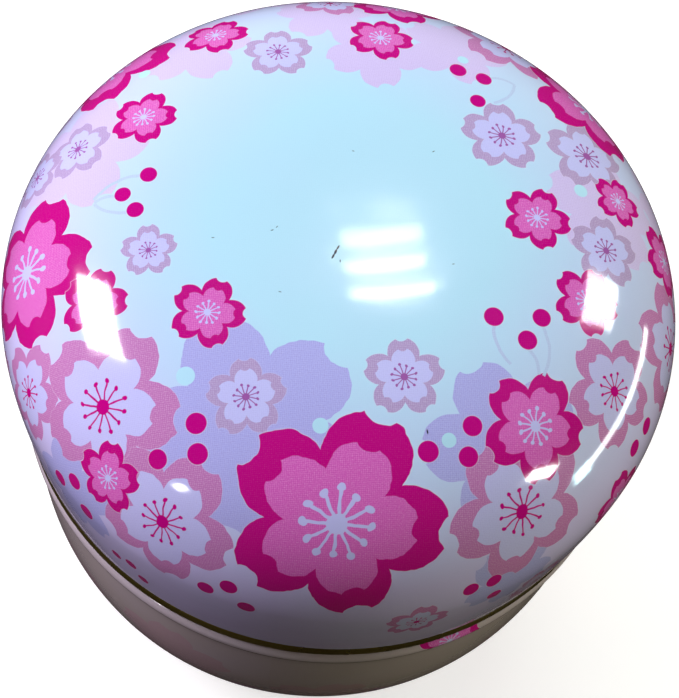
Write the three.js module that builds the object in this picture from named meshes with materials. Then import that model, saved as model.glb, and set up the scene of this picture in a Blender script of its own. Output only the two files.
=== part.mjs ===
// Tea caddy: a drawn tinplate tin with a domed slip-on lid, a gold-lacquered mouth ring
// and a knobbed inner lid. Millimetres, +Z up. The origin is the centre of the foot ring,
// on the surface that the caddy stands on.
import * as THREE from 'three';

// Driving dimensions.
const LID_R = 46.5;         // widest radius of the lid
const LID_TOP_Z = 82.7;     // crown of the lid
const LID_WIDE_Z = 60.5;    // height of the lid's widest line
const HEM_Z = 43.6;         // lower edge of the lid's curled hem
const HEM_R = 44.6;         // outside radius at the hem
const HEM_CURL_R = 0.55;    // radius of the curl
const BASE_R = 35.2;        // radius that the body wall runs down to
const WALL_R = 43.34;       // body wall below the shoulder roll
const WALL_TOP_Z = 38.9;    // where the body wall's inward curve starts
const SHOULDER_R = 44.5;    // outside radius of the shoulder roll
const SHOULDER_Z = 38.3;    // height of the roll's widest line
const SHOULDER_RISE = 1.6;  // from that line to the top of the roll
const ROLL_FADE = 2.4;      // how far down the wall the roll dies away
const RIM_R = 42.95;        // edge of the hole in the top of the body
const FOOT_OUT_R = 34.6;    // flat annulus that the caddy stands on
const FOOT_IN_R = 33.4;
const CORNER_RISE = 1.6;    // height of the rounded corner above the foot
const PANEL_Z = 1.8;        // underside of the recessed base panel
const NECK_R = 43.1;        // the ring's neck, which the lid slips over
const NECK_TOP_Z = 50.6;
const SLEEVE_R = 42.55;     // the ring's lower end, pressed into the body
const SLEEVE_END_Z = 33;
const LIP_R = 0.35;         // section radius of its rolled lip
const BEAD_R = 1.4;         // section radius of its stop bead, between hem and shoulder
const BEAD_Z = 41.6;
const PLUG_R = 42.1;        // the inner lid's short skirt
const PLUG_FLOOR_Z = 47.95; // top of its recessed panel
const FLANGE_R = 42.9;      // its flange, which rests on the neck
const FLANGE_Z = 51.25;
const RAISED_RING_R = 26;   // raised ring pressed in the panel
const RAISED_RING_RISE = 0.7;
const RIVET_R = 1.5;
const BORE_R = 1.9;         // rivet holes in the plate, knob and washer
const KNOB_R = 8.3;
const KNOB_HEIGHT = 9.2;
const HEAD_R = 3;           // the rivet's domed head
const WASHER_R = 4.6;
const WASHER_THICK = 0.55;
const GAP = 0.3;            // between fittings that touch
const SHEET = 0.35;         // wall thickness of every drawn piece
const ROUND = 40;           // facets round the tin
const ROUND_SMALL = 24;     // facets round the small fittings

// Exponents of the curves.
const DOME_R_POWER = 3.86;
const DOME_Z_POWER = 2;
const SIDE_POWER = 1.42;
const WALL_POWER = 3.54;

const material = (color, roughness, metalness) =>
  new THREE.MeshStandardMaterial({ color, roughness, metalness });

const PRINTED_TIN = material(0xc4e4f4, 0.22, 0.1);
const GOLD_LACQUER = material(0xa98a2e, 0.3, 0.9);
const KNOB_PLASTIC = material(0x17151a, 0.3, 0);
const BRIGHT_METAL = material(0xc9ccd0, 0.3, 1);

const spread = (count, curve) => Array.from({ length: count + 1 }, (_, i) => curve(i / count));

// An arc about (r, z), from one angle to the other, in degrees from the +r direction.
function arc(r, z, radiusR, radiusZ, from, to, count) {
  return spread(count, (t) => {
    const a = THREE.MathUtils.degToRad(from + (to - from) * t);
    return [r + radiusR * Math.cos(a), z + radiusZ * Math.sin(a)];
  });
}

// Moves each point of an outline square to its own stretch, towards the right-hand side
// of its direction of travel. Ends that lie on the axis stay on it.
function offsetLine(line, distance) {
  return line.map(([r, z], i) => {
    const [r0, z0] = line[Math.max(i - 1, 0)];
    const [r1, z1] = line[Math.min(i + 1, line.length - 1)];
    const length = Math.hypot(r1 - r0, z1 - z0);
    if (r === 0) return [0, z + Math.sign(r0 - r1) * distance];
    return [r + ((z1 - z0) / length) * distance, z - ((r1 - r0) / length) * distance];
  });
}

// A sheet-metal section: its outside line, then the inside line back to the start.
const sheetSection = (line) => [...line, ...offsetLine(line, SHEET).reverse()];

// Turns a section about +Z. A section that doesn't begin and end on the axis is closed.
function turned(section, facets) {
  const first = section[0];
  const last = section[section.length - 1];
  const closed = first[0] === 0 && last[0] === 0 ? section : [...section, first];
  const points = closed.map(([r, z]) => new THREE.Vector2(r, z));
  return new THREE.LatheGeometry(points, facets).rotateX(Math.PI / 2);
}

function piece(name, section, facets, finish) {
  const mesh = new THREE.Mesh(turned(section, facets), finish);
  mesh.name = name;
  return mesh;
}

// The lid: a superellipse dome down to the widest line, a side that draws in to the hem,
// and a hem curled inwards.
function lidShell() {
  const dome = spread(10, (t) => {
    const a = (t * Math.PI) / 2;
    const r = t === 0 ? 0 : LID_R * Math.sin(a) ** (2 / DOME_R_POWER);
    const z = LID_WIDE_Z + (LID_TOP_Z - LID_WIDE_Z) * Math.max(Math.cos(a), 0) ** (2 / DOME_Z_POWER);
    return [r, z];
  });
  const side = spread(4, (t) => [
    LID_R - (LID_R - HEM_R) * t ** SIDE_POWER,
    LID_WIDE_Z - (LID_WIDE_Z - HEM_Z - HEM_CURL_R) * t,
  ]);
  const curl = arc(HEM_R - HEM_CURL_R, HEM_Z + HEM_CURL_R, HEM_CURL_R, HEM_CURL_R, 0, -180, 4);
  const turnIn = [HEM_R - 2 * HEM_CURL_R, HEM_Z + 2 * HEM_CURL_R];
  const outside = [...dome, ...side.slice(1), ...curl.slice(1), turnIn];
  return piece('lid_shell', sheetSection(outside).reverse(), ROUND, PRINTED_TIN);
}

// The body's outside radius: a power curve that draws in towards the base, plus the
// shoulder roll, which fades out down the wall.
function bodyRadius(z) {
  const drawnIn = (WALL_R - BASE_R) * Math.max((WALL_TOP_Z - z) / WALL_TOP_Z, 0) ** WALL_POWER;
  const roll = (SHOULDER_R - WALL_R) * Math.exp(-(((SHOULDER_Z - z) / ROLL_FADE) ** 2));
  return WALL_R - drawnIn + roll;
}

// The body: rim, shoulder roll, wall, foot ring and recessed base panel, from one sheet.
function bodyShell() {
  const shoulder = arc(RIM_R, SHOULDER_Z, SHOULDER_R - RIM_R, SHOULDER_RISE, 90, 0, 4);
  const rollEndZ = SHOULDER_Z - 4.5;
  const nearRoll = spread(3, (t) => SHOULDER_Z - (SHOULDER_Z - rollEndZ) * t).slice(1);
  const lower = spread(7, (t) => rollEndZ - (rollEndZ - CORNER_RISE) * t).slice(1);
  const wall = [...nearRoll, ...lower].map((z) => [bodyRadius(z), z]);
  const cornerR = bodyRadius(CORNER_RISE);
  const corner = arc(FOOT_OUT_R, CORNER_RISE, cornerR - FOOT_OUT_R, CORNER_RISE, -30, -90, 2);
  const foot = [[FOOT_IN_R, 0], [FOOT_IN_R - 0.8, 0.5], [FOOT_IN_R - 1.2, PANEL_Z - 0.3]];
  const panel = [[FOOT_IN_R - 1.7, PANEL_Z], [0, PANEL_Z]];
  const outside = [...shoulder, ...wall, ...corner, ...foot, ...panel];
  return piece('body_shell', sheetSection(outside).reverse(), ROUND, PRINTED_TIN);
}

// The mouth ring: a lip, the neck, the stop bead and the sleeve that is pressed in.
function mouthRing() {
  const lip = arc(NECK_R - LIP_R, NECK_TOP_Z - LIP_R, LIP_R, LIP_R, 130, 0, 3);
  const neckEnd = [NECK_R, HEM_Z];
  const bead = arc(NECK_R, BEAD_Z, BEAD_R, BEAD_R, 70, -70, 4);
  const sleeve = [[SLEEVE_R, BEAD_Z - BEAD_R - GAP], [SLEEVE_R, SLEEVE_END_Z]];
  const outside = [...lip, neckEnd, ...bead, ...sleeve];
  return piece('mouth_ring', sheetSection(outside).reverse(), ROUND, GOLD_LACQUER);
}

// The inner lid's plate: flange, short skirt, and a recessed panel with a raised ring.
function innerLidPlate() {
  const flange = [[FLANGE_R, FLANGE_Z], [PLUG_R + 0.15, FLANGE_Z], [PLUG_R - SHEET, FLANGE_Z - 0.4]];
  const skirt = [[PLUG_R - SHEET, PLUG_FLOOR_Z + 0.6], [PLUG_R - SHEET - 0.5, PLUG_FLOOR_Z]];
  const raisedRing = arc(RAISED_RING_R, PLUG_FLOOR_Z, 2.6, RAISED_RING_RISE, 0, 180, 6);
  const upper = [...flange, ...skirt, ...raisedRing, [BORE_R, PLUG_FLOOR_Z]];
  const section = [...upper, ...offsetLine(upper, -SHEET).reverse()];
  return piece('inner_lid_plate', section, ROUND, GOLD_LACQUER);
}

// The turned knob, with a bore for the rivet and a seat for the rivet's head.
function innerLidKnob() {
  const footZ = PLUG_FLOOR_Z + GAP;
  const topZ = footZ + KNOB_HEIGHT;
  const seatZ = topZ - 0.6;
  const stem = [[BORE_R, footZ], [5.2, footZ], [5.2, footZ + 0.6]];
  const waist = arc(6.2, footZ + 2.6, 2.5, 2, 230, 130, 4);
  const grip = arc(4.6, footZ + 6.6, KNOB_R - 4.6, 2.6, -60, 90, 7);
  const seat = [[HEAD_R + GAP, topZ], [HEAD_R + GAP, seatZ], [BORE_R, seatZ]];
  return piece('inner_lid_knob', [...stem, ...waist, ...grip, ...seat], ROUND_SMALL, KNOB_PLASTIC);
}

// The rivet: formed tail, shank and domed head.
function knobRivet() {
  const tailZ = PLUG_FLOOR_Z - 2.5;
  const headZ = PLUG_FLOOR_Z + KNOB_HEIGHT;
  const tail = [[0, tailZ], [2.3, tailZ], [2.6, tailZ + 0.4], [2.4, tailZ + 1]];
  const shank = [[RIVET_R, tailZ + 1], [RIVET_R, headZ]];
  const head = arc(0, headZ, HEAD_R, 1, 0, 90, 4);
  head[head.length - 1][0] = 0;
  return piece('knob_rivet', [...tail, ...shank, ...head], ROUND_SMALL, BRIGHT_METAL);
}

// The washer between the rivet's tail and the plate.
function rivetWasher() {
  const top = PLUG_FLOOR_Z - SHEET - GAP;
  const bottom = top - WASHER_THICK;
  const section = [[BORE_R, bottom], [WASHER_R, bottom], [WASHER_R, top], [BORE_R, top]];
  return piece('rivet_washer', section, ROUND_SMALL, BRIGHT_METAL);
}

const innerLid = new THREE.Group();
innerLid.add(innerLidPlate(), innerLidKnob(), knobRivet(), rivetWasher());

const caddy = new THREE.Group();
caddy.add(bodyShell(), mouthRing(), innerLid, lidShell());

export default caddy;
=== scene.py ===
"""Looks of a drawn tinplate tea caddy with a blossom print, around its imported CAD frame."""
import math

import bpy
import numpy as np
from mathutils import Matrix, Vector


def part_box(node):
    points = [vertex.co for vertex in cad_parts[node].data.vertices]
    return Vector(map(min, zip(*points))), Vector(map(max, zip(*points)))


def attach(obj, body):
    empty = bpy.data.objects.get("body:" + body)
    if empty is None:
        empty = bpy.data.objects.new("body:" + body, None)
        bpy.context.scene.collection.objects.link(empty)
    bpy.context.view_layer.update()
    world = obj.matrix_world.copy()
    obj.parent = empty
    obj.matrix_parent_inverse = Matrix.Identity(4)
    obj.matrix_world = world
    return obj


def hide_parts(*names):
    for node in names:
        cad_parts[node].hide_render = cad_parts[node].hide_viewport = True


bl_info = {
    "name": "Blossom Tea Caddy",
    "version": (1, 0, 0),
    "blender": (4, 5, 0),
    "location": "View3D > Sidebar > Tea Caddy",
    "description": "Builds the skins, fittings, print and stage of a drawn tinplate tea caddy",
    "category": "Add Mesh",
}

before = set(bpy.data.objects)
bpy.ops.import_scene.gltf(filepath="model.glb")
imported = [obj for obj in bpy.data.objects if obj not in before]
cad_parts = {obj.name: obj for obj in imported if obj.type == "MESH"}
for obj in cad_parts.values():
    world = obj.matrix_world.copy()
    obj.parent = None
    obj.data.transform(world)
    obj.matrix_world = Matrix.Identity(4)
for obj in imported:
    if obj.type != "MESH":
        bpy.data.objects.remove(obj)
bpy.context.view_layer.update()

# Places taken from the frame, in metres.
LID_LOW, LID_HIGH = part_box("lid_shell")
_, BODY_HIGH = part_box("body_shell")
RING_LOW, RING_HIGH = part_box("mouth_ring")
_, PLATE_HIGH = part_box("inner_lid_plate")
KNOB_LOW, KNOB_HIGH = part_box("inner_lid_knob")
RIVET_LOW, RIVET_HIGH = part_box("knob_rivet")
WASHER_LOW, WASHER_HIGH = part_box("rivet_washer")

MM = 0.001
SHEET = 0.35 * MM
LID_R = LID_HIGH.x
LID_TOP = LID_HIGH.z
HEM_Z = LID_LOW.z
LID_WIDE = HEM_Z + 16.9 * MM
HEM_R = LID_R - 1.9 * MM
CURL_R = 0.55 * MM
DOME_R_POWER = 3.86
SIDE_POWER = 1.42
SHOULDER_R = BODY_HIGH.x
SHOULDER_RISE = 1.6 * MM
SHOULDER_Z = BODY_HIGH.z - SHOULDER_RISE
WALL_R = SHOULDER_R - 1.16 * MM
WALL_TOP = SHOULDER_Z + 0.6 * MM
ROLL_FADE = 2.4 * MM
RIM_R = SHOULDER_R - 1.55 * MM
BASE_R = 35.2 * MM
WALL_POWER = 3.54
FOOT_OUT = 34.6 * MM
FOOT_IN = 33.4 * MM
CORNER_RISE = 1.6 * MM
PANEL_Z = 1.8 * MM
NECK_R = 43.1 * MM
SLEEVE_R = 42.55 * MM
BEAD_R = RING_HIGH.x - NECK_R
BEAD_Z = HEM_Z - 2.0 * MM
PLUG_R = 42.1 * MM
GAP = 0.3 * MM
PLUG_FLOOR = KNOB_LOW.z - GAP
RAISED_RING_R = 26 * MM
RAISED_RING_RISE = 0.7 * MM
BORE_R = 1.9 * MM
AXIS_R = 1e-9  # a point nearer the axis than this lies on it


# ---------------------------------------------------------------- turned surfaces

def arc(r, z, size_r, size_z, start, end, count):
    """Points about (r, z): r + size_r cos a, z + size_z sin a, a from start to end in degrees."""
    a = np.radians(np.linspace(start, end, count))
    return np.column_stack([r + size_r * np.cos(a), z + size_z * np.sin(a)])


def even_steps(line, step):
    """The same line with its points spaced evenly, by linear interpolation over arc length."""
    line = np.asarray(line, float)
    run = np.concatenate([[0], np.cumsum(np.hypot(*np.diff(line, axis=0).T))])
    at = np.linspace(0, run[-1], max(int(round(run[-1] / step)), 4) + 1)
    return np.column_stack([np.interp(at, run, line[:, 0]), np.interp(at, run, line[:, 1])])


def inner_side(line, distance):
    """Each point moved by distance along the unit normal on the right of the line's direction."""
    tangent = np.gradient(line, axis=0)
    tangent /= np.hypot(*tangent.T)[:, None]
    moved = line + distance * np.column_stack([tangent[:, 1], -tangent[:, 0]])
    moved[np.abs(line[:, 0]) < AXIS_R, 0] = 0
    return moved


def turn(name, line, around, closed=False):
    """A surface of revolution: point (i, j) is (r_i sin t_j, -r_i cos t_j, z_i), t_j = 2 pi j / around.
    A point on the axis is one pole vertex, and closed joins the last ring to the first.
    Faces look to the left of the line's direction of travel in the (r, z) half plane."""
    line = np.asarray(line, float)
    r, z = line[:, :1], line[:, 1:]
    j = np.arange(around)
    t = j * 2 * math.pi / around
    grid = np.stack([r * np.sin(t), -r * np.cos(t), z + 0 * t], axis=2)
    pole = r < AXIS_R
    kept = ~pole | (j == 0)
    index = np.where(pole, 0, j) + np.concatenate([[0], np.cumsum(kept.sum(axis=1))[:-1]])[:, None]
    lower = index if closed else index[:-1]
    upper = np.roll(index, -1, axis=0)[:len(lower)]
    from_pole = pole[:len(lower), 0]
    to_pole = np.roll(pole, -1)[:len(lower), 0]
    quads = np.stack([lower, upper, np.roll(upper, -1, axis=1), np.roll(lower, -1, axis=1)], axis=2)
    faces = quads[~from_pole & ~to_pole].reshape(-1, 4).tolist()
    faces += quads[from_pole][:, :, :3].reshape(-1, 3).tolist()
    faces += quads[to_pole][:, :, [0, 1, 3]].reshape(-1, 3).tolist()
    points = grid[kept]
    mesh = bpy.data.meshes.new(name)
    mesh.from_pydata(points, [], faces)
    mesh.polygons.foreach_set("use_smooth", np.ones(len(mesh.polygons), bool))
    mesh.update()
    piece = bpy.data.objects.new(name, mesh)
    bpy.context.scene.collection.objects.link(piece)
    return piece


def finish_piece(piece, body, nodes, material):
    """Gives a piece its material and its body, and hides the CAD nodes it stands for."""
    piece.data.materials.append(material)
    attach(piece, body)
    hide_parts(*nodes)
    return piece


# ---------------------------------------------------------------- section lines

def lid_line():
    """The lid's outside from crown to curl, as three lines: a superellipse dome, r = R sin(a)^(2/p),
    z = wide + h cos a, then a side r = R - (R - hem) t^q, then a half circle under the hem."""
    a = np.linspace(0, math.pi / 2, 400)
    dome = np.column_stack([
        LID_R * np.sin(a) ** (2 / DOME_R_POWER),
        LID_WIDE + (LID_TOP - LID_WIDE) * np.cos(a),
    ])
    t = np.linspace(0, 1, 120)[1:]
    side = np.column_stack([
        LID_R - (LID_R - HEM_R) * t ** SIDE_POWER,
        LID_WIDE - (LID_WIDE - HEM_Z - CURL_R) * t,
    ])
    curl = arc(HEM_R - CURL_R, HEM_Z + CURL_R, CURL_R, CURL_R, 0, -180, 16)[1:]
    return dome, side, curl


def body_radius(z):
    """Wall radius: a power curve drawing in to the base, plus a bell-shaped roll at the shoulder."""
    drawn_in = (WALL_R - BASE_R) * (np.clip(WALL_TOP - z, 0, None) / WALL_TOP) ** WALL_POWER
    roll = (SHOULDER_R - WALL_R) * np.exp(-(((SHOULDER_Z - z) / ROLL_FADE) ** 2))
    return WALL_R - drawn_in + roll


def body_line():
    """The body's outside: a quarter ellipse from rim to shoulder, the wall, and the corner to the foot."""
    shoulder = arc(RIM_R, SHOULDER_Z, SHOULDER_R - RIM_R, SHOULDER_RISE, 90, 0, 24)
    z = np.linspace(SHOULDER_Z, CORNER_RISE, 200)[1:]
    wall = np.column_stack([body_radius(z), z])
    corner_r = float(body_radius(np.array([CORNER_RISE]))[0])
    corner = arc(FOOT_OUT, CORNER_RISE, corner_r - FOOT_OUT, CORNER_RISE, 0, -90, 12)[1:]
    return np.vstack([shoulder, wall, corner])


def base_line():
    """Under the foot: the flat annulus, the step up and the recessed panel, to the axis."""
    s = np.linspace(0, 1, 14)
    ease = s * s * (3 - 2 * s)
    flat = np.column_stack([np.linspace(FOOT_OUT, FOOT_IN, 4), np.zeros(4)])
    step = np.column_stack([FOOT_IN - 1.7 * MM * s, PANEL_Z * ease])
    panel = np.column_stack([np.linspace(step[-1, 0], 0, 40)[1:], np.full(39, PANEL_Z)])
    return np.vstack([flat, step[1:], panel])


# ---------------------------------------------------------------- the print's layout
# Every motif is (x, y, size[, turn]) in millimetres and degrees on the flat sheet that the lid
# is drawn from: the crown is the origin, -y is the front, and size is a blossom's radius.

LILAC, BLUSH, ROSE, LIGHT, DEEP, STEM, PALE_DOT, DOT, SPECK = range(1, 10)
DEFAULT_TURN = {LILAC: 49, BLUSH: 20, ROSE: 0, LIGHT: 30, DEEP: 6}

LID_MOTIFS = {
    LILAC: [
        (-8.2, -30.5, 14), (24, -26, 10.8, 53), (-36, -44, 9, 10), (34, -44, 8, 20),
        (52, 42, 10, 30),
    ],
    # On the lid, blush is the lilac blossom painted paler and pinker at the back and sides: partly a pinker
    # ink, partly painted light from behind.
    BLUSH: [
        (-27, 26, 8), (-2, 28.5, 7, 0), (-10, 36, 7, 30), (9, 33, 7.5, 10), (33, 11.5, 9, 30),
        (-39, 6, 10, 15), (26, 46, 11, 12), (-22, 46, 10, 40), (47, 22, 9, 8), (2, 58, 11), (-52, 30, 9),
    ],
    ROSE: [
        (50, -2, 9.8, 51), (-42.6, -29, 7.2, 53), (-27.8, -30.6, 10.6, -4), (38, -14.2, 7.6, 2),
        (28.9, -33.5, 10.4, 0), (-18.3, -44.8, 10.4, 53), (23, -56.4, 5.6, 30), (17, 40, 8.5, 20),
        (-10, 41, 5.5, 10), (-38, 42, 9, 53), (8, 56, 8, 0), (36, 50, 8.5, 20), (-60, 2, 7, 53),
        (61, 16, 7.5, 0), (47, -46, 6, 20), (-22, 60, 7, 12), (54, 34, 7, 51), (-56, -26, 6, 30),
    ],
    LIGHT: [
        (9.5, -20.6, 5.1), (33.3, 4.8, 5.2), (-25.4, -9.4, 3.7), (-9.3, -27.1, 5.0), (-39.5, 6.8, 5.0),
        (-47, 4.5, 5.0), (-14.9, 25.2, 4.7), (16.9, 18, 5.6), (29.3, 19.6, 6.2), (-49, 18, 5),
        (26, 58, 5.5), (-6, 50, 5), (42, 46, 5), (-44, 54, 5.5), (63, -8, 4.5), (-62, -14, 4.5),
    ],
    DEEP: [
        (31.4, -3.8, 4.8), (23.1, 6.2, 4.7), (-43.8, -12, 11, 3), (-31.3, -17.2, 4.7),
        (-16.2, -16.9, 4.8), (-30.7, 11.4, 4.6), (-24.5, 28.8, 4.7), (-1.6, 31.3, 4.6),
        (34.7, 14.1, 4.0, 11), (-26.9, -39.9, 5.1), (27.3, -22.6, 7.2), (-41, 26, 11, -4),
        (30.5, 33, 10.5), (45.5, 10.5, 5.5), (-0.3, 43.5, 7), (50.5, -27, 6), (4.9, -40.5, 14.4),
        (-20, 52, 7), (14, 64, 5.5), (-57, 12, 5), (46, 56, 5.5), (-52, 42, 6), (60, 28, 5),
    ],
    # A stem is (start x, start y, end x, end y), and bows to the left on its way.
    STEM: [
        (-34.5, -2.4, -28.6, 1.6), (-34.3, -2.8, -30.6, -1.9), (-29.3, -4.1, -34.3, -3.0),
        (22.5, -15.6, 19.6, -10.9), (25.9, -9.4, 27.1, -15.9), (24.5, -13.0, 26.4, -15.9),
        (14.4, 28.2, 17.9, 28.4), (17.9, 28.4, 15.2, 23.4), (43, 33.5, 38.5, 39.5), (43.2, 33.8, 41.2, 37.6),
        (-27, 45, -29.6, 51.4), (-11.4, 50.4, -13.7, 56.2), (54.6, 10.8, 56.6, 8.2), (-58.6, -2, -57.2, -6.4),
    ],
    DOT: [
        (19.4, -9.8, 1.3), (25.6, -8.2, 1.25), (24.2, -11.8, 1.3), (19.1, -24.8, 1.3), (14.2, -29.3, 1.35),
        (19.4, -28.7, 1.3), (30.5, -44.6, 1.3), (27.3, -46.7, 1.3), (33.8, -48, 1.3), (47.7, -15.5, 1.3),
        (46.4, -19.4, 1.3), (9.7, 28, 1.2), (13.4, 27.6, 1.15), (13, 23, 1.1), (-27.8, 1.8, 1.15),
        (-30.6, -1.5, 1.1), (-28.4, -3.7, 1.15), (-14.9, -31.3, 1.35), (-14.1, -35, 1.35),
        (-19.3, -36.4, 1.3), (-38.8, -42, 1.4), (-34.3, -41.7, 1.35), (-34.2, -47.2, 1.5),
        (-33, -57.2, 1.2), (-29.2, -58, 1.3), (-28.7, -62.7, 1.3), (-8.4, -53.7, 1.4), (-12.3, -55.5, 1.4),
        (-5.7, -58.2, 1.5), (38, 40, 1.2), (41, 38, 1.2), (20, 52, 1.3), (-30, 52, 1.3), (-14, 57, 1.3),
        (57, 3, 1.3), (56.8, 7.4, 1.3), (-57, -7, 1.3), (-54, 23, 1.3),
    ],
    PALE_DOT: [
        (-17.3, -25.6, 1.2), (0.4, -29.0, 1.0), (16.5, -27.3, 0.95), (28.7, 12.8, 1.0), (10.2, 30.5, 0.8),
        (-33, 20.5, 0.9), (20, 49, 1.0), (-30, 41, 0.9),
    ],
    # A speck is (x, y, half its length, turn), and three in a row make a scratch.
    SPECK: [
        (-2.1, -5.9, 0.4, 75), (-1.9, -5.2, 0.45, 78), (-1.7, -4.5, 0.36, 72), (-1.1, -6.4, 0.2, 100),
        (-10.4, -3.8, 0.18, 30), (-9.9, -3.2, 0.15, 60), (-17.6, -6.4, 0.17, 10), (-7.8, -12.4, 0.17, 0),
        (8.2, 12.8, 0.18, 40), (13.2, -3.6, 0.15, 20), (13.6, -26.9, 0.3, 110), (-2.2, 10.4, 0.15, 0),
    ],
}

# On the body a motif is (angle from the front in degrees, height in millimetres, size[, turn]).
BODY_MOTIFS = {
    LILAC: [(75, 26, 9), (130, 20, 10), (-125, 24, 11), (180, 30, 9), (-84, 30, 8)],
    BLUSH: [(-20, 21, 9), (12, 15, 9, 0), (-48, 16, 8, 40), (50, 15, 8, 30), (100, 26, 9), (-155, 24, 9)],
    ROSE: [
        (-4, 9, 6.5, 20), (-34, 10, 6.5, 53), (-66, 15, 7, 0), (26, 11, 6, 51), (88, 30, 7, 20),
        (122, 14, 8, 0), (160, 29, 7, 53), (-160, 14, 8, 20), (-118, 30, 8, 0), (-92, 12, 7, 53),
    ],
    LIGHT: [
        (70, 21, 4.5), (106, 25, 4.5), (142, 21, 5), (-178, 24, 5), (-142, 25, 4.5), (-100, 24, 5),
        (-78, 26, 4.5),
    ],
    DEEP: [
        (32.5, 38.5, 4.4), (72, 34, 4.5), (100, 36, 4), (52, 10, 5), (-50, 8, 4.5), (78, 10, 5),
        (136, 33, 6), (-170, 36, 4.5), (-134, 12, 6), (-98, 36, 4), (170, 12, 5),
    ],
    DOT: [
        (10, 8, 1.2), (14, 11, 1.2), (-19, 8, 1.2), (62, 27, 1.2), (65, 24, 1.2), (92, 17, 1.2),
        (96, 20, 1.2), (150, 14, 1.2), (154, 17, 1.2), (-120, 18, 1.2), (-116, 15, 1.2), (-90, 20, 1.2),
        (118, 26, 1.2), (-152, 32, 1.2), (-148, 29, 1.2),
    ],
    PALE_DOT: [(82, 24, 0.9), (-128, 30, 0.9), (-86, 33, 0.9)],
}
LAYERS = 8
OFF_SHEET = 1e6
BODY_SHEET_R = 41.0  # millimetres; the body's print is laid out on a strip rolled to this radius

# Outlines of the motifs, in shares of a motif's size unless a name says millimetres.
PETAL_MIDDLE = 0.63
PETAL_HALF_LENGTH = 0.405
PETAL_HALF_WIDTH = 0.4
CENTRE_DISC_R = 0.56
BITE_ALONG, BITE_ACROSS, BITE_R = 1.12, 0.035, 0.19
STAMEN_LENGTH = 0.305
STAMEN_SWING = 0.02
STAMEN_TIP = 2.6  # a tip's radius over half the width of its line
STAMEN_DISC_R = 0.095
SPECK_THINNESS = 3.0
STEM_HALF_TURN = 0.5  # radians
STEM_HALF_WIDTH_MM = 0.22
RIM_WIDTH_MM = 0.1
SOFT_EDGE_MM = 0.07
MARGIN_MM = 0.45  # how far from an outline its layer is still kept


def stem_arc(x0, y0, x1, y1):
    """The arc from one point to another as (centre x, centre y, radius, direction of its middle):
    its radius is chord / (2 sin h), and its centre is radius cos h from the middle of the chord."""
    chord = math.hypot(x1 - x0, y1 - y0)
    radius = chord / (2 * math.sin(STEM_HALF_TURN))
    left_x, left_y = (y0 - y1) / chord, (x1 - x0) / chord
    back = radius * math.cos(STEM_HALF_TURN)
    middle_x, middle_y = (x0 + x1) / 2, (y0 + y1) / 2
    return middle_x - back * left_x, middle_y - back * left_y, radius, math.atan2(left_y, left_x)


def flat_list(motifs):
    """The motifs in the order they are printed, as (style, x, y, size, turn)."""
    rows = []
    for style, places in sorted(motifs.items()):
        for place in places:
            if style == STEM:
                rows.append((style, *stem_arc(*place)))
                continue
            x, y, size = place[:3]
            angle = place[3] if len(place) > 3 else DEFAULT_TURN.get(style, 0)
            rows.append((style, x, y, size, math.radians(angle)))
    return rows


def outline_distance(style, size, u, v):
    """About how far, in millimetres, a point (u, v) is outside a motif: the same outlines as the
    shader's, without the bitten tips."""
    far, angle = np.hypot(u, v), np.arctan2(v, u)
    if style == STEM:
        return np.maximum(np.abs(far - size), (np.abs(angle) - STEM_HALF_TURN) * far)
    if style > DEEP:
        return far - size
    fold = (angle + math.pi / 5) % (2 * math.pi / 5) - math.pi / 5
    along, across = far / size * np.cos(fold), far / size * np.sin(fold)
    ellipse = np.hypot((along - PETAL_MIDDLE) / PETAL_HALF_LENGTH, across / PETAL_HALF_WIDTH)
    return size * np.minimum(PETAL_HALF_WIDTH * (ellipse - 1), far / size - CENTRE_DISC_R)


def lay_print(mesh, sheet, motifs, period=None):
    """Stores the print's layout on the mesh. sheet holds each face corner's place on the flat sheet
    in millimetres. For a motif of centre c, size s and turn a, a corner at p gets (R(-a)(p - c),
    style + s / 100), in the first layer that no earlier motif on the same face uses."""
    loops = len(mesh.loops)
    totals = np.empty(len(mesh.polygons), np.int32)
    mesh.polygons.foreach_get("loop_total", totals)
    corner_face = np.repeat(np.arange(len(totals)), totals)
    used = np.zeros(len(totals), int)
    layers = np.zeros((LAYERS, loops, 3), np.float32)
    layers[:, :, 0] = OFF_SHEET
    for style, x, y, size, angle in flat_list(motifs):
        away = sheet - np.array([x, y])
        if period:
            away[:, 0] = (away[:, 0] + period / 2) % period - period / 2
        c, s = math.cos(angle), math.sin(angle)
        u = away[:, 0] * c + away[:, 1] * s
        v = away[:, 1] * c - away[:, 0] * s
        touched = outline_distance(style, size, u, v) < MARGIN_MM
        near = np.zeros(len(totals), bool)
        near[corner_face[touched]] = True
        if not near.any():
            continue
        layer = int(used[near].max())
        if layer >= LAYERS:
            raise RuntimeError(f"the print needs more than {LAYERS} layers at ({x}, {y})")
        used[near] = layer + 1
        corners = near[corner_face]
        code = np.full(corners.sum(), style + size / 100)
        layers[layer, corners] = np.column_stack([u[corners], v[corners], code])
    for i in range(LAYERS):
        attribute = mesh.attributes.new(f"motif_{i}", "FLOAT_VECTOR", "CORNER")
        attribute.data.foreach_set("vector", layers[i].ravel())
    place = mesh.attributes.new("sheet", "FLOAT_VECTOR", "CORNER")
    spread = np.column_stack([sheet, np.zeros(loops)]).astype(np.float32)
    place.data.foreach_set("vector", spread.ravel())


def corner_vertices(mesh):
    index = np.empty(len(mesh.loops), np.int32)
    mesh.loops.foreach_get("vertex_index", index)
    return index


def vertex_places(mesh):
    co = np.empty(len(mesh.vertices) * 3, np.float32)
    mesh.vertices.foreach_get("co", co)
    return co.reshape(-1, 3).astype(float)


# ---------------------------------------------------------------- node helpers

def wire(socket, value):
    """Links a value into a socket, or sets the socket to it when it is a constant."""
    value = getattr(value, "socket", value)
    if isinstance(value, bpy.types.NodeSocket):
        socket.id_data.links.new(value, socket)
    else:
        socket.default_value = value


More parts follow.
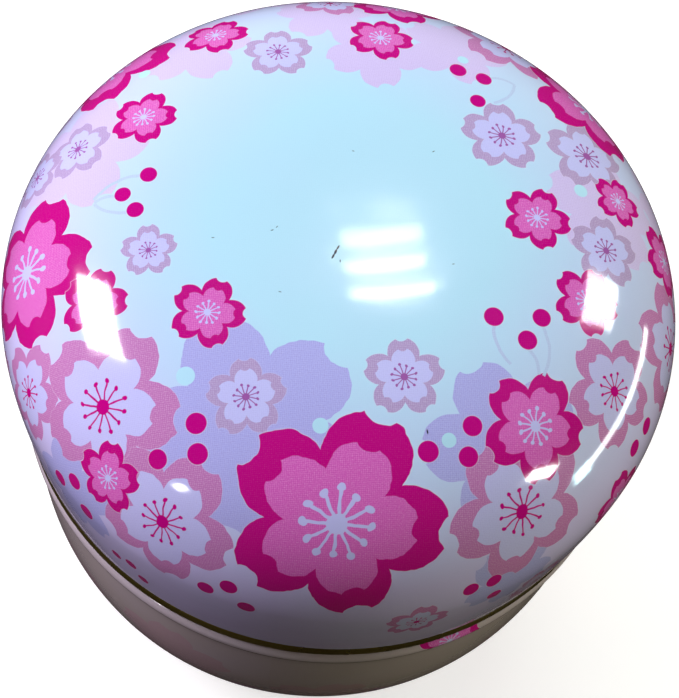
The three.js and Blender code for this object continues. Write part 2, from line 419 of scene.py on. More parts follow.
def new_node(kind, *values):
    """A new node in the tree of the first value that is linked."""
    sockets = (getattr(value, "socket", value) for value in values)
    linked = next(socket for socket in sockets if isinstance(socket, bpy.types.NodeSocket))
    return linked.id_data.nodes.new(kind)


def calc(operation, *values):
    """One Math node. Returns its output as a Number."""
    node = new_node("ShaderNodeMath", *values)
    node.operation = operation
    for socket, value in zip(node.inputs, values):
        wire(socket, value)
    return Number(node.outputs[0])


class Number:
    """A shader's number in plain arithmetic. Each operation adds one Math node."""

    def __init__(self, socket):
        self.socket = socket

    def __add__(self, other):
        return calc("ADD", self, other)

    def __radd__(self, other):
        return calc("ADD", other, self)

    def __sub__(self, other):
        return calc("SUBTRACT", self, other)

    def __rsub__(self, other):
        return calc("SUBTRACT", other, self)

    def __mul__(self, other):
        return calc("MULTIPLY", self, other)

    def __truediv__(self, other):
        return calc("DIVIDE", self, other)

    def __rtruediv__(self, other):
        return calc("DIVIDE", other, self)

    def __abs__(self):
        return calc("ABSOLUTE", self)

    def share(self):
        """Holds the node behind this number between 0 and 1."""
        self.socket.node.use_clamp = True
        return self


def length(x, y):
    return calc("SQRT", x * x + y * y)


def parts(vector):
    """The x, y and z of a vector."""
    node = new_node("ShaderNodeSeparateXYZ", vector)
    wire(node.inputs[0], vector)
    return [Number(output) for output in node.outputs]


def between(share, under, over):
    """The number under where share is 0, and over where it is 1."""
    return under * (1.0 - share) + over * share


def blend_colours(share, under, over):
    """One Mix node for colours. Returns its output."""
    node = new_node("ShaderNodeMix", share, under, over)
    node.data_type = "RGBA"
    wire(node.inputs["Factor"], share)
    wire(node.inputs[6], under)
    wire(node.inputs[7], over)
    return node.outputs[2]


def by_style(style, table, default=(1, 1, 1, 1)):
    """Picks a colour by the style number, with a stepped colour ramp that has one step for each style."""
    ramp = new_node("ShaderNodeValToRGB", style)
    ramp.color_ramp.interpolation = "CONSTANT"
    steps = ramp.color_ramp.elements
    steps[0].position = 0
    steps[0].color = table.get(LILAC, default)
    steps[1].position = BLUSH / 10 - 0.05
    steps[1].color = table.get(BLUSH, default)
    for number in range(ROSE, SPECK + 1):
        steps.new(number / 10 - 0.05).color = table.get(number, default)
    wire(ramp.inputs[0], style / 10.0)
    return ramp.outputs[0]


def number_by_style(style, table, default=0.0):
    greys = {number: (value, value, value, 1) for number, value in table.items()}
    return Number(by_style(style, greys, (default, default, default, 1)))


def fold(turn_angle, count):
    """The turn from the middle of the nearest of count equal sectors."""
    return calc("WRAP", turn_angle, math.pi / count, -math.pi / count)


def petals(rho, turn_angle, scale):
    """Signed distance, in blossom radii, to a five-petalled outline shrunk by scale: each petal is an
    ellipse about its own axis, joined to a centre disc and bitten at its tip by a small circle."""
    r = rho / scale
    folded = fold(turn_angle, 5)
    along = r * calc("COSINE", folded)
    across = r * calc("SINE", folded)
    ellipse = length((along - PETAL_MIDDLE) / PETAL_HALF_LENGTH, across / PETAL_HALF_WIDTH)
    joined = calc("MINIMUM", (ellipse - 1.0) * PETAL_HALF_WIDTH, r - CENTRE_DISC_R)
    bite = length(along - BITE_ALONG, across - BITE_ACROSS)
    return calc("MAXIMUM", joined, BITE_R - bite) * scale


def stamens(rho, turn_angle, style):
    """Signed distance, in blossom radii, to twelve stamens: a centre disc, lines and round tips."""
    folded = fold(turn_angle, 12)
    reach = STAMEN_LENGTH + calc("SINE", turn_angle * 5.0) * STAMEN_SWING
    along = rho * calc("COSINE", folded) - reach
    across = abs(rho * calc("SINE", folded))
    half_width = number_by_style(style, {ROSE: 0.0115, LIGHT: 0.014, DEEP: 0.015})
    line = calc("MAXIMUM", across - half_width, along)
    tip = length(along, across) - half_width * STAMEN_TIP
    return calc("MINIMUM", calc("MINIMUM", line, tip), rho - STAMEN_DISC_R)


def covered(distance_mm):
    """1 inside an outline and 0 outside, with a soft edge."""
    return (0.5 - distance_mm / SOFT_EDGE_MM).share()


GROUP_SOCKETS = (
    ("Motif", "INPUT", "NodeSocketVector"),
    ("Waver", "INPUT", "NodeSocketVector"),
    ("Colour", "INPUT", "NodeSocketColor"),
    ("Screen", "INPUT", "NodeSocketFloat"),
    ("Colour", "OUTPUT", "NodeSocketColor"),
    ("Screen", "OUTPUT", "NodeSocketFloat"),
)


def motif_group(inks):
    """Node group that prints one layer of motifs over the colour below it. Motif is what lay_print
    stores, Waver bends the outlines a little, and Screen is the strength of the halftone screen."""
    tree = bpy.data.node_groups.new("motif_layer", "ShaderNodeTree")
    for name, side, kind in GROUP_SOCKETS:
        tree.interface.new_socket(name, in_out=side, socket_type=kind)
    start = tree.nodes.new("NodeGroupInput").outputs
    end = tree.nodes.new("NodeGroupOutput").inputs
    motif_x, motif_y, code = parts(start["Motif"])
    waver_x, waver_y, _ = parts(start["Waver"])
    style = calc("FLOOR", code)
    size = calc("MAXIMUM", calc("FRACT", code) * 100.0, 0.01)
    x = motif_x / size + waver_x
    y = motif_y / size + waver_y
    rho = length(x, y)
    turn_angle = calc("ARCTAN2", y, x)

    inner_scale = number_by_style(style, {ROSE: 0.69, LIGHT: 0.72, DEEP: 0.72}, 0.7)
    blossom = petals(rho, turn_angle, 1.0)
    inner = petals(rho, turn_angle, inner_scale)
    tips = stamens(rho, turn_angle, style)
    round_dot = rho - 1.0
    speck = (length(x, y * SPECK_THINNESS) - 1.0) / SPECK_THINNESS
    stem = calc("MAXIMUM", abs(round_dot) - STEM_HALF_WIDTH_MM / size,
                (abs(turn_angle) - STEM_HALF_TURN) * rho)
    is_flower = calc("LESS_THAN", style, DEEP + 0.5)
    is_stem = calc("COMPARE", style, float(STEM), 0.1)
    is_speck = calc("COMPARE", style, float(SPECK), 0.1)
    is_dot = 1.0 - is_stem - is_speck
    plain = stem * is_stem + round_dot * is_dot + speck * is_speck
    outline = between(is_flower, plain, blossom) * size
    has_inner = number_by_style(style, {ROSE: 1, LIGHT: 1, DEEP: 1})

    rim = covered(outline - RIM_WIDTH_MM)
    rim = rim * number_by_style(style, {ROSE: 0.2, LIGHT: 0.2, DEEP: 0.4, DOT: 0.4})
    inside = covered(outline)
    inner_share = covered(inner * size) * has_inner
    stamen_share = covered(tips * size) * has_inner
    colour = blend_colours(rim, start["Colour"], inks["rim"])
    colour = blend_colours(inside, colour, by_style(style, inks["outer"]))
    colour = blend_colours(inner_share, colour, by_style(style, inks["inner"]))
    colour = blend_colours(stamen_share, colour, by_style(style, inks["stamen"]))
    wire(end["Colour"], colour)

    outer_screen = number_by_style(
        style, {LILAC: 0.75, BLUSH: 0.6, ROSE: 1, LIGHT: 1, DEEP: 0.12, STEM: 0.5, DOT: 0.05})
    inner_screen = number_by_style(style, {ROSE: 0.45, LIGHT: 0.4, DEEP: 0.9})
    grain = between(inside, Number(start["Screen"]), outer_screen)
    grain = between(inner_share, grain, inner_screen)
    wire(end["Screen"], grain * (1.0 - stamen_share))
    return tree


def new_material(name):
    material = bpy.data.materials.new(name)
    material.use_nodes = True
    tree = material.node_tree
    return material, tree, tree.nodes["Principled BSDF"]


def attribute_vector(tree, name):
    node = tree.nodes.new("ShaderNodeAttribute")
    node.attribute_type = "GEOMETRY"
    node.attribute_name = name
    return node.outputs["Vector"]


def noise_node(vector, scale, detail=2.0, roughness=0.5):
    node = new_node("ShaderNodeTexNoise", vector)
    node.inputs["Scale"].default_value = scale
    node.inputs["Detail"].default_value = detail
    node.inputs["Roughness"].default_value = roughness
    wire(node.inputs["Vector"], vector)
    return node


def noise(*settings):
    return Number(noise_node(*settings).outputs["Fac"])


def object_places(tree):
    return tree.nodes.new("ShaderNodeTexCoord").outputs["Object"]


def bump(height, strength, distance):
    node = new_node("ShaderNodeBump", height)
    node.inputs["Strength"].default_value = strength
    node.inputs["Distance"].default_value = distance
    wire(node.inputs["Height"], height)
    return node.outputs["Normal"]


def opaque(colour):
    return (*colour[:3], 1)


def hairlines(vector, degrees, offset):
    """Sparse fine scratches that run one way: stretched noise, kept only where it peaks."""
    place = new_node("ShaderNodeMapping", vector)
    place.inputs["Location"].default_value = (offset, offset, 0)
    place.inputs["Rotation"].default_value = (0, 0, math.radians(degrees))
    place.inputs["Scale"].default_value = (0.14, 3.2, 1)
    wire(place.inputs["Vector"], vector)
    return ((noise(place.outputs[0], 1.0, 1.0) - 0.66) * 9.0).share()


SCREEN_PITCH = 0.36       # millimetres between rows of the halftone screen
SCREEN_STRENGTH = 0.3
PLAIN_SCREEN = 0.12       # how much of the screen shows on the plain ground
SCREEN_PALE = (0.95, 0.93, 1.0, 1)
SCREEN_DARK = (0.22, 0.05, 0.22, 1)
WAVER = 0.05              # how far outlines wander, in shares of a motif's size


def ground_and_painted_reflection(colours, sheet, on_lid):
    """The plain ground, partly with painted light: the lid's pale field turns lilac from 18 to 52 mm from
    the crown, which is partly print and partly a painted reflection, cyan where the crown faces up and
    lilac where the rim faces the room; the body's pearl takes a little of the same lilac at the shoulder
    as a painted highlight; both with cloudy edges."""
    if on_lid:
        away = new_node("ShaderNodeVectorMath", sheet)
        away.operation = "LENGTH"
        wire(away.inputs[0], sheet)
        # painted reflection: part of this turn from cyan to lilac towards the rim stands for the room
        # mirrored in the varnish
        edge = ((Number(away.outputs["Value"]) - 18.0) / 34.0).share()
    else:
        # painted highlight: the lilac rising towards the shoulder stands for the sheen along the shoulder's
        # roll
        edge = ((parts(sheet)[1] - 34.0) * 0.02).share()
    edge = (edge + (noise(sheet, 0.05, 1.0) - 0.5) * 0.3).share()
    return blend_colours(edge, opaque(colours.field if on_lid else colours.pearl), opaque(colours.edge))


def screened(sheet, colour, screen):
    """The colour broken up by a halftone screen turned 30 degrees, product of two sines, with noise."""
    x, y, _ = parts(sheet)
    pitch = 2 * math.pi / SCREEN_PITCH
    u = x * 0.5 + y * 0.866
    v = x * 0.866 - y * 0.5
    dots = calc("SINE", u * pitch) * calc("SINE", v * pitch)
    rough_dots = dots * 0.5 + (noise(sheet, 4.5, 2.0, 0.7) - 0.5) * 2.4
    shade = rough_dots * screen * SCREEN_STRENGTH
    amount = abs(shade).share()
    tint = blend_colours(amount, colour, SCREEN_PALE)
    dark = blend_colours(amount, colour, SCREEN_DARK)
    return blend_colours(calc("GREATER_THAN", shade, 0.0), dark, tint)


def printed_tinplate(colours, on_lid):
    """Printed and varnished tinplate: the ground, layers of motifs, a fine halftone screen in the
    tints, and a glossy varnish with faint orange peel and hairline scratches."""
    material, tree, shader = new_material("printed_tinplate_" + ("lid" if on_lid else "body"))
    group = motif_group(print_inks(colours, not on_lid))
    sheet = attribute_vector(tree, "sheet")
    colour = ground_and_painted_reflection(colours, sheet, on_lid)
    waver = new_node("ShaderNodeVectorMath", sheet)
    waver.operation = "MULTIPLY_ADD"
    wire(waver.inputs[0], noise_node(sheet, 0.55, 1.0).outputs["Color"])
    waver.inputs[1].default_value = (WAVER, WAVER, WAVER)
    waver.inputs[2].default_value = (-WAVER / 2, -WAVER / 2, -WAVER / 2)
    screen = PLAIN_SCREEN
    for i in range(LAYERS):
        layer = tree.nodes.new("ShaderNodeGroup")
        layer.node_tree = group
        wire(layer.inputs["Motif"], attribute_vector(tree, f"motif_{i}"))
        wire(layer.inputs["Waver"], waver.outputs[0])
        wire(layer.inputs["Colour"], colour)
        wire(layer.inputs["Screen"], screen)
        colour = layer.outputs["Colour"]
        screen = layer.outputs["Screen"]
    wire(shader.inputs["Base Color"], screened(sheet, colour, screen))

    height = noise(sheet, 0.9, 2.0) * 0.06 + noise(sheet, 0.09, 1.0)
    scratches = hairlines(sheet, 62, 3.1) + hairlines(sheet, 128, 41.7)
    wire(shader.inputs["Normal"], bump(height - scratches * 0.012, 0.25, 0.0004))
    shader.inputs["Roughness"].default_value = 0.1
    shader.inputs["Specular IOR Level"].default_value = 0.5
    shader.inputs["Coat Weight"].default_value = 0.5
    shader.inputs["Coat Roughness"].default_value = 0.04
    return material


def turned_metal(name, base, deep, roughness, ring_scale):
    """Metal with faint concentric draw lines, soft staining and rubbed patches."""
    material, tree, shader = new_material(name)
    places = object_places(tree)
    x, y, z = parts(places)
    rings = tree.nodes.new("ShaderNodeCombineXYZ")
    wire(rings.inputs["X"], length(x, y))
    wire(rings.inputs["Z"], z)
    lines = noise(rings.outputs[0], ring_scale, 3.0, 0.6)
    stain = noise(places, 90.0, 4.0, 0.6)
    share = (stain * 0.6 + lines * 0.5).share()
    wire(shader.inputs["Base Color"], blend_colours(share, opaque(deep), opaque(base)))
    wire(shader.inputs["Roughness"], roughness - 0.08 + stain * 0.2)
    wire(shader.inputs["Normal"], bump(lines, 0.3, 0.00008))
    shader.inputs["Metallic"].default_value = 0.94
    return material


def knob_plastic(colour):
    """Moulded glossy plastic with fine flow marks and a few rubbed, duller patches."""
    material, tree, shader = new_material("knob_plastic")
    mottle = noise(object_places(tree), 260.0, 3.0)
    lighter = tuple(min(c * 1.8 + 0.01, 1) for c in colour)
    wire(shader.inputs["Base Color"], blend_colours(mottle, opaque(colour), opaque(lighter)))
    wire(shader.inputs["Roughness"], 0.18 + mottle * 0.16)
    wire(shader.inputs["Normal"], bump(mottle, 0.15, 0.0001))
    shader.inputs["Coat Weight"].default_value = 0.3
    return material


# ---------------------------------------------------------------- settings

def colour_setting(name, description, default):
    return bpy.props.FloatVectorProperty(
        name=name, description=description, subtype="COLOR", size=3, min=0, max=1, default=default)


class CaddyInks(bpy.types.PropertyGroup):
    """Colours of the print and of the metal."""
    # The change from field at the crown to edge at the hem is partly print and partly painted reflection;
    # edge also gives the body's shoulder a painted highlight.
    field: colour_setting("Field", "Pale ground at the crown of the lid", (0.46, 0.77, 0.93))
    edge: colour_setting("Edge", "Ground towards the hem of the lid", (0.60, 0.57, 0.93))
    pearl: colour_setting("Pearl", "Ground of the body", (0.44, 0.39, 0.40))
    # The blush setting is the lilac painted paler and pinker for the back and sides of the lid, partly
    # painted light from behind.
    lilac: colour_setting("Lilac", "Plain blossoms behind the others, at the front", (0.41, 0.43, 0.84))
    lit_blush: colour_setting("Blush", "Plain blossoms behind the others, elsewhere", (0.62, 0.54, 0.88))
    dusty: colour_setting("Dusty rose", "Plain blossoms behind the others, on the body", (0.46, 0.33, 0.38))
    deep: colour_setting("Deep pink", "Outer petals of the dark blossoms, and the dots", (0.52, 0.0, 0.22))
    middle: colour_setting("Middle pink", "Inner petals of the dark blossoms", (0.68, 0.12, 0.52))
    rose: colour_setting("Rose", "Outer petals of the rose blossoms", (0.53, 0.20, 0.49))
    mauve: colour_setting("Mauve", "Outer petals of the light blossoms", (0.44, 0.34, 0.60))
    pale: colour_setting("Pale", "Inner petals and the fine rim round dark shapes", (0.54, 0.56, 0.94))
    gold: colour_setting("Gold lacquer", "Mouth ring and inner lid", (0.44, 0.35, 0.09))
    tin: colour_setting("Bright tin", "Inside walls, rivet and washer", (0.72, 0.73, 0.74))
    knob: colour_setting("Knob", "Plastic of the knob", (0.02, 0.015, 0.02))


class CaddyFineness(bpy.types.PropertyGroup):
    """How finely the surfaces are divided."""
    around: bpy.props.IntProperty(
        name="Steps round", description="Facets round the printed skins", default=480, min=48, max=720)
    step: bpy.props.FloatProperty(
        name="Step", description="Distance between rings of the printed skins", default=0.00047,
        min=0.0002, max=0.005, subtype="DISTANCE", unit="LENGTH")
    around_fittings: bpy.props.IntProperty(
        name="Steps round fittings", description="Facets round the knob, rivet and washer", default=96,
        min=24, max=256)


class CaddyStage(bpy.types.PropertyGroup):
    """Camera and light."""
    lens: bpy.props.FloatProperty(
        name="Lens", description="Focal length in millimetres", default=103.15, min=20, max=300)
    aim: bpy.props.FloatVectorProperty(
        name="Aim", description="Point that the camera looks at", default=(0.0011, 0.0034, 0.0405),
        size=3, subtype="XYZ", unit="LENGTH")
    distance: bpy.props.FloatProperty(
        name="Distance", description="From the aim to the camera", default=0.2966,
        min=0.1, max=3, subtype="DISTANCE", unit="LENGTH")
    elevation: bpy.props.FloatProperty(
        name="Elevation", description="Height angle of the camera", default=math.radians(62.18),
        min=0, max=math.pi / 2, subtype="ANGLE", unit="ROTATION")
    bearing: bpy.props.FloatProperty(
        name="Bearing", description="Turn of the camera about the vertical, from the front",
        default=math.radians(-0.46), min=-math.pi, max=math.pi, subtype="ANGLE", unit="ROTATION")
    roll: bpy.props.FloatProperty(
        name="Roll", description="Turn about the line of sight", default=math.radians(11.36),
        min=-math.pi, max=math.pi, subtype="ANGLE", unit="ROTATION")
    light: bpy.props.FloatProperty(
        name="Light", description="Strength of all the lamps", default=1.0, min=0, max=10)


def inks(context):
    return context.scene.caddy_inks


STEM_INK = (0.46, 0.60, 0.86, 1)
SPECK_INK = (0.02, 0.02, 0.04, 1)
PURPLE_INK = (0.33, 0.10, 0.38, 1)
RIM_INK = (0.80, 0.74, 0.95, 1)


def print_inks(colours, on_body):
    """The ink of each part of each style."""
    pale = opaque(colours.pale)
    magenta = opaque(colours.deep)
    return {
        "outer": {
            LILAC: opaque(colours.lilac),
            # On the body this is the dusty rose print; on the lid it is lilac painted paler and pinker,
            # partly painted light from behind.
            BLUSH: opaque(colours.dusty if on_body else colours.lit_blush),
            ROSE: opaque(colours.rose),
            LIGHT: opaque(colours.mauve),
            DEEP: magenta,
            STEM: STEM_INK,
            PALE_DOT: opaque(colours.field),
            DOT: magenta,
            SPECK: SPECK_INK,
        },
        "inner": {ROSE: pale, LIGHT: pale, DEEP: opaque(colours.middle)},
        "stamen": {ROSE: magenta, LIGHT: PURPLE_INK, DEEP: pale},
        "rim": RIM_INK,
    }


# ---------------------------------------------------------------- operators

class CADDY_OT_lid_skin(bpy.types.Operator):
    """Make the lid's printed outer skin"""
    bl_idname = "caddy.lid_skin"
    bl_label = "Lid skin"

    def execute(self, context):
        size = context.scene.caddy_fineness
        dome, side, curl = lid_line()
        smooth = even_steps(np.vstack([dome, side]), size.step)
        line = np.vstack([smooth, curl])
        piece = turn("lid_skin", line, size.around)
        co = vertex_places(piece.data)
        run = np.concatenate([[0], np.cumsum(np.hypot(*np.diff(line, axis=0).T))])
        per_vertex = np.concatenate([[0], np.repeat(run[1:], size.around)]) / MM
        angle = np.arctan2(co[:, 0], -co[:, 1])
        flat = np.column_stack([per_vertex * np.sin(angle), -per_vertex * np.cos(angle)])
        lay_print(piece.data, flat[corner_vertices(piece.data)], LID_MOTIFS)
        colours = inks(context)
        material = printed_tinplate(colours, True)
        finish_piece(piece, "lid", ["lid_shell"], material)
        return {"FINISHED"}


class CADDY_OT_lid_lining(bpy.types.Operator):
    """Make the lid's bare tin inside and the end of its curl"""
    bl_idname = "caddy.lid_lining"
    bl_label = "Lid lining"

    def execute(self, context):
        size = context.scene.caddy_fineness
        dome, side, curl = lid_line()
        outside = np.vstack([even_steps(np.vstack([dome, side]), 3 * size.step), curl])
        inside = inner_side(outside, SHEET)
        end = np.vstack([outside[-1], 0.5 * (outside[-1] + inside[-1]) + [0, 0.12 * MM]])
        line = np.vstack([end, inside[::-1]])
        piece = turn("lid_lining", line, size.around // 2)
        colours = inks(context)
        material = turned_metal("bright_tin", colours.tin, (0.5, 0.5, 0.5), 0.28, 900.0)
        finish_piece(piece, "lid", ["lid_shell"], material)
        return {"FINISHED"}


class CADDY_OT_body_skin(bpy.types.Operator):
    """Make the body's printed outer skin"""
    bl_idname = "caddy.body_skin"
    bl_label = "Body skin"

    def execute(self, context):
        size = context.scene.caddy_fineness
        line = even_steps(body_line(), size.step)
        piece = turn("body_skin", line, size.around)
        index = corner_vertices(piece.data)
        ring = index // size.around
        column = index % size.around
        starts = np.repeat(column.reshape(-1, 4)[:, 0], 4)
        column = np.where((column == 0) & (starts > 1), size.around, column)
        round_strip = 2 * math.pi * BODY_SHEET_R
        sheet = np.column_stack([column / size.around * round_strip, line[:, 1][ring] / MM])
        motifs = {style: [(math.radians(place[0]) * BODY_SHEET_R, *place[1:]) for place in places]
                  for style, places in BODY_MOTIFS.items()}
        lay_print(piece.data, sheet, motifs, period=round_strip)
        colours = inks(context)
        material = printed_tinplate(colours, False)
        finish_piece(piece, "caddy", ["body_shell"], material)
        return {"FINISHED"}


class CADDY_OT_body_lining(bpy.types.Operator):
    """Make the body's bare tin inside, rim and underside"""
    bl_idname = "caddy.body_lining"
    bl_label = "Body lining"

    def execute(self, context):
        size = context.scene.caddy_fineness
        outside = np.vstack([even_steps(body_line(), 3 * size.step), base_line()[1:]])
        line = np.vstack([outside[:1], inner_side(outside, SHEET)])
        piece = turn("body_lining", line[::-1], size.around // 2)
        under = turn("base_panel", base_line(), size.around // 2)
        colours = inks(context)
        material = turned_metal("bright_tin_body", colours.tin, (0.5, 0.5, 0.5), 0.3, 900.0)
        finish_piece(piece, "caddy", ["body_shell"], material)
        finish_piece(under, "caddy", ["body_shell"], material)
        return {"FINISHED"}


class CADDY_OT_mouth_ring(bpy.types.Operator):
    """Make the gold-lacquered mouth ring: lip, neck, stop bead and sleeve"""
    bl_idname = "caddy.mouth_ring"
    bl_label = "Mouth ring"

    def execute(self, context):
        lip_r = 0.35 * MM
        lip = arc(NECK_R - lip_r, RING_HIGH.z - lip_r, lip_r, lip_r, 130, 0, 12)
        neck = np.array([[NECK_R, HEM_Z]])
        bead = arc(NECK_R, BEAD_Z, BEAD_R, BEAD_R, 75, -75, 24)
        sleeve = np.array([[SLEEVE_R, BEAD_Z - BEAD_R - GAP], [SLEEVE_R, RING_LOW.z]])
        outside = even_steps(np.vstack([lip, neck, bead, sleeve]), 0.15 * MM)
        line = np.vstack([outside, inner_side(outside, SHEET)[::-1]])
        piece = turn("mouth_ring_sheet", line, 240, closed=True)
        colours = inks(context)
        material = turned_metal("gold_lacquer", colours.gold, (0.2, 0.16, 0.03), 0.26, 700.0)
        finish_piece(piece, "caddy", ["mouth_ring"], material)
        return {"FINISHED"}


class CADDY_OT_inner_lid(bpy.types.Operator):
    """Make the inner lid's plate, with its flange, skirt and raised ring"""
    bl_idname = "caddy.inner_lid"
    bl_label = "Inner lid plate"

    def execute(self, context):
        bend = 0.5 * MM
        flange = np.array([[PLATE_HIGH.x, PLATE_HIGH.z], [PLUG_R + 0.35 * MM, PLATE_HIGH.z]])
        over = arc(PLUG_R - SHEET + bend, PLATE_HIGH.z - bend, bend, bend, 90, 180, 8)
        under = arc(PLUG_R - SHEET - bend, PLUG_FLOOR + bend, bend, bend, 0, -90, 8)
        r = np.linspace(PLUG_R - SHEET - 2 * bend, BORE_R, 160)
        ring = RAISED_RING_RISE * np.exp(-(((r - RAISED_RING_R) / (1.6 * MM)) ** 2))
        panel = np.column_stack([r, PLUG_FLOOR + ring])
        upper = np.vstack([flange, over, under, panel])
        line = np.vstack([upper, inner_side(upper, -SHEET)[::-1]])
        piece = turn("inner_lid_pressing", line[::-1], 240, closed=True)
        colours = inks(context)
        material = turned_metal("gold_lacquer_plate", colours.gold, (0.24, 0.19, 0.04), 0.24, 500.0)
        finish_piece(piece, "inner_lid", ["inner_lid_plate"], material)
        return {"FINISHED"}


class CADDY_OT_knob(bpy.types.Operator):
    """Make the inner lid's turned knob"""
    bl_idname = "caddy.knob"
    bl_label = "Knob"

    def execute(self, context):
        z = KNOB_LOW.z
        stem_r, seat_r = 5.2 * MM, 3.3 * MM
        grip_middle = 4.6 * MM
        seat_z, top = z + 8.6 * MM, KNOB_HIGH.z
        edge = 0.1 * MM
        stem = np.array([[BORE_R, z], [stem_r - 3 * edge, z], [stem_r, z + 2 * edge], [stem_r, z + 6 * edge]])
        waist = arc(6.2 * MM, z + 2.6 * MM, 2.5 * MM, 2 * MM, 235, 125, 20)
        grip = arc(grip_middle, z + 6.6 * MM, KNOB_HIGH.x - grip_middle, 2.6 * MM, -62, 90, 40)
        seat = np.array([[seat_r + edge, top], [seat_r, top - edge], [seat_r, seat_z], [BORE_R, seat_z]])
        line = np.vstack([stem, waist, grip, seat])
        piece = turn("knob_turned", line[::-1], context.scene.caddy_fineness.around_fittings, closed=True)
        material = knob_plastic(inks(context).knob)
        finish_piece(piece, "inner_lid", ["inner_lid_knob"], material)
        return {"FINISHED"}


class CADDY_OT_fixings(bpy.types.Operator):
    """Make the knob's rivet and washer"""
    bl_idname = "caddy.fixings"
    bl_label = "Rivet and washer"

    def execute(self, context):
        around = context.scene.caddy_fineness.around_fittings
        low, high = RIVET_LOW.z, RIVET_HIGH.z
        shank = 1.5 * MM
        tail = np.vstack([[[0, low]], arc(1.9 * MM, low + 0.5 * MM, 0.7 * MM, 0.5 * MM, -90, 60, 12)])
        neck = np.array([[shank, low + MM], [shank, high - MM]])
        head = arc(0, high - MM, 3 * MM, MM, 2, 90, 16)
        head[-1, 0] = 0
        line = np.vstack([tail, neck, head])
        rivet = turn("rivet_headed", line[::-1], around)
        edge = 0.12 * MM
        inner, outer = WASHER_HIGH.x - 2.7 * MM, WASHER_HIGH.x
        bottom, top = WASHER_LOW.z, WASHER_HIGH.z
        ring = np.array([[inner, bottom], [outer - edge, bottom], [outer, bottom + edge],
                         [outer, top - edge], [outer - edge, top], [inner, top]])
        washer = turn("washer_turned", ring[::-1], around, closed=True)
        metal = turned_metal("bright_metal", inks(context).tin, (0.45, 0.45, 0.47), 0.3, 1200.0)
        finish_piece(rivet, "inner_lid", ["knob_rivet"], metal)
        finish_piece(washer, "inner_lid", ["rivet_washer"], metal)
        return {"FINISHED"}


PLAIN_WHITE = (1.0, 1.0, 1.0)
# Each lamp is (name, place, width, height, turn about its beam in degrees, radiance, colour, mirrored).
# A mirrored lamp only shows as a highlight in the varnish, and the others only give light.
LAMPS = (
    ("sky", (0.0, 0.3, 0.76), 0.6, 0.5, 0, 2.2, (0.86, 0.97, 1.0), False),
    ("window_wash", (-0.5, 0.0, 0.45), 0.3, 0.3, 0, 13, (0.96, 0.91, 1.0), False),
    ("room_left", (-0.68, -0.12, 0.1), 0.5, 0.3, 0, 5.4, (1.0, 0.84, 0.86), False),
    ("room_back", (0.0, 0.75, 0.2), 0.6, 0.3, 0, 6.5, (1.0, 1.0, 0.8), False),
    ("room_right", (0.72, -0.1, 0.12), 0.4, 0.3, 0, 7.0, (1.0, 0.95, 0.66), False),
    ("upper_right", (0.45, 0.1, 0.55), 0.3, 0.3, 0, 3.3, (1.0, 0.92, 0.9), False),
    ("window_left", (-0.499, 0.007, 0.451), 0.2, 0.2, 0, 22, PLAIN_WHITE, True),
    ("window_right", (0.459, 0.269, 0.404), 0.11, 0.19, -22, 16, PLAIN_WHITE, True),
    ("tube_back", (0.015, 0.310, 0.596), 0.042, 0.008, 17, 19, PLAIN_WHITE, True),
    ("tube_middle", (0.021, 0.294, 0.602), 0.047, 0.009, 16, 19, PLAIN_WHITE, True),
    ("tube_front", (0.033, 0.273, 0.611), 0.058, 0.012, 14, 19, PLAIN_WHITE, True),
    ("bright_line", (0.62, 0.06, 0.045), 0.42, 0.05, 0, 11, (0.92, 1.0, 0.97), True),
    ("cyan_panel", (0.624, -0.130, 0.037), 0.06, 0.09, 0, 14, (0.6, 1.0, 1.0), True),
    ("glint_right", (0.563, -0.206, 0.283), 0.05, 0.12, 30, 36, PLAIN_WHITE, True),
    ("glint_left", (-0.335, -0.502, 0.279), 0.03, 0.06, -20, 22, PLAIN_WHITE, True),
)


def softbox(name, place, width, height, turn_degrees, radiance, colour, mirrored):
    """A rectangular area lamp facing the crown of the lid. Its power is radiance times pi times area."""
    lamp = bpy.data.lights.new(name, "AREA")
    lamp.shape = "RECTANGLE"
    lamp.size = width
    lamp.size_y = height
    lamp.energy = radiance * math.pi * width * height
    lamp.color = colour
    holder = bpy.data.objects.new(name, lamp)
    facing = (Vector((0, 0, LID_TOP)) - Vector(place)).to_track_quat("-Z", "Y").to_matrix()
    rolled = facing @ Matrix.Rotation(math.radians(turn_degrees), 3, "Z")
    holder.matrix_world = Matrix.Translation(place) @ rolled.to_4x4()
    holder.visible_camera = False
    holder.visible_glossy = mirrored
    holder.visible_diffuse = not mirrored
    bpy.context.scene.collection.objects.link(holder)


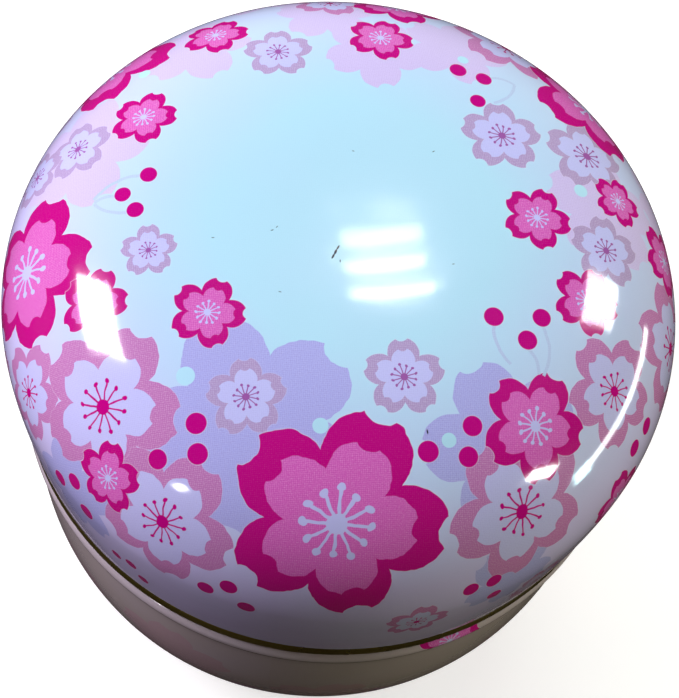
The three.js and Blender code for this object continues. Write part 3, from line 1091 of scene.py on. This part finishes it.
class CADDY_OT_stage(bpy.types.Operator):
    """Make the floor, the lamps, the world and the camera"""
    bl_idname = "caddy.stage"
    bl_label = "Stage"

    def execute(self, context):
        scene = context.scene
        setup = scene.caddy_stage
        floor_z = -0.2 * MM
        flat_r, sweep_r = 1.2, 0.9
        sweep = arc(flat_r, floor_z + sweep_r, sweep_r, sweep_r, -90, 0, 24)
        line = np.vstack([[[0, floor_z]], sweep])
        floor = turn("floor", line, 96)
        material, tree, shader = new_material("floor_paper")
        fibre = noise(object_places(tree), 60.0, 3.0)
        wire(shader.inputs["Base Color"], blend_colours(fibre, (0.62, 0.62, 0.62, 1), (0.65, 0.65, 0.65, 1)))
        shader.inputs["Roughness"].default_value = 0.8
        shader.inputs["Emission Color"].default_value = (1, 1, 1, 1)
        shader.inputs["Emission Strength"].default_value = 0.62
        floor.data.materials.append(material)
        floor.visible_diffuse = False
        floor.visible_glossy = False
        floor.visible_shadow = False

        for name, place, width, height, turn_degrees, radiance, colour, mirrored in LAMPS:
            softbox(name, place, width, height, turn_degrees, radiance * setup.light, colour, mirrored)

        world = bpy.data.worlds.new("soft_room")
        world.use_nodes = True
        back = world.node_tree.nodes["Background"]
        back.inputs["Color"].default_value = (1.0, 0.80, 0.70, 1)
        back.inputs["Strength"].default_value = 0.025 * setup.light
        scene.world = world
        scene.view_settings.view_transform = "Standard"

        camera = bpy.data.cameras.new("camera")
        camera.lens = setup.lens
        camera.sensor_width = 36
        camera.clip_start = 0.01
        holder = bpy.data.objects.new("camera", camera)
        scene.collection.objects.link(holder)
        aim = Vector(setup.aim)
        level = math.cos(setup.elevation)
        away = Vector((level * math.sin(setup.bearing), -level * math.cos(setup.bearing),
                       math.sin(setup.elevation)))
        facing = (-away).to_track_quat("-Z", "Y").to_matrix() @ Matrix.Rotation(setup.roll, 3, "Z")
        holder.matrix_world = Matrix.Translation(aim + setup.distance * away) @ facing.to_4x4()
        scene.camera = holder
        return {"FINISHED"}


class CADDY_PT_panel(bpy.types.Panel):
    """Lists the caddy's pieces and settings"""
    bl_idname = "CADDY_PT_panel"
    bl_label = "Tea Caddy"
    bl_space_type = "VIEW_3D"
    bl_region_type = "UI"
    bl_category = "Tea Caddy"

    def draw(self, context):
        column = self.layout.column()
        for operator in PIECE_OPERATORS:
            column.operator(operator.bl_idname)
        for settings in (context.scene.caddy_fineness, context.scene.caddy_inks, context.scene.caddy_stage):
            box = column.box()
            for name in settings.__annotations__:
                box.prop(settings, name)


PIECE_OPERATORS = (
    CADDY_OT_lid_skin,
    CADDY_OT_lid_lining,
    CADDY_OT_body_skin,
    CADDY_OT_body_lining,
    CADDY_OT_mouth_ring,
    CADDY_OT_inner_lid,
    CADDY_OT_knob,
    CADDY_OT_fixings,
    CADDY_OT_stage,
)
SETTINGS = {"caddy_inks": CaddyInks, "caddy_fineness": CaddyFineness, "caddy_stage": CaddyStage}


def register():
    for cls in (*SETTINGS.values(), *PIECE_OPERATORS, CADDY_PT_panel):
        bpy.utils.register_class(cls)
    for name, cls in SETTINGS.items():
        setattr(bpy.types.Scene, name, bpy.props.PointerProperty(type=cls))


def unregister():
    for name in SETTINGS:
        delattr(bpy.types.Scene, name)
    for cls in reversed((*SETTINGS.values(), *PIECE_OPERATORS, CADDY_PT_panel)):
        bpy.utils.unregister_class(cls)


def main():
    register()
    for operator in PIECE_OPERATORS:
        area, name = operator.bl_idname.split(".")
        getattr(getattr(bpy.ops, area), name)()


if __name__ == "__main__":
    main()
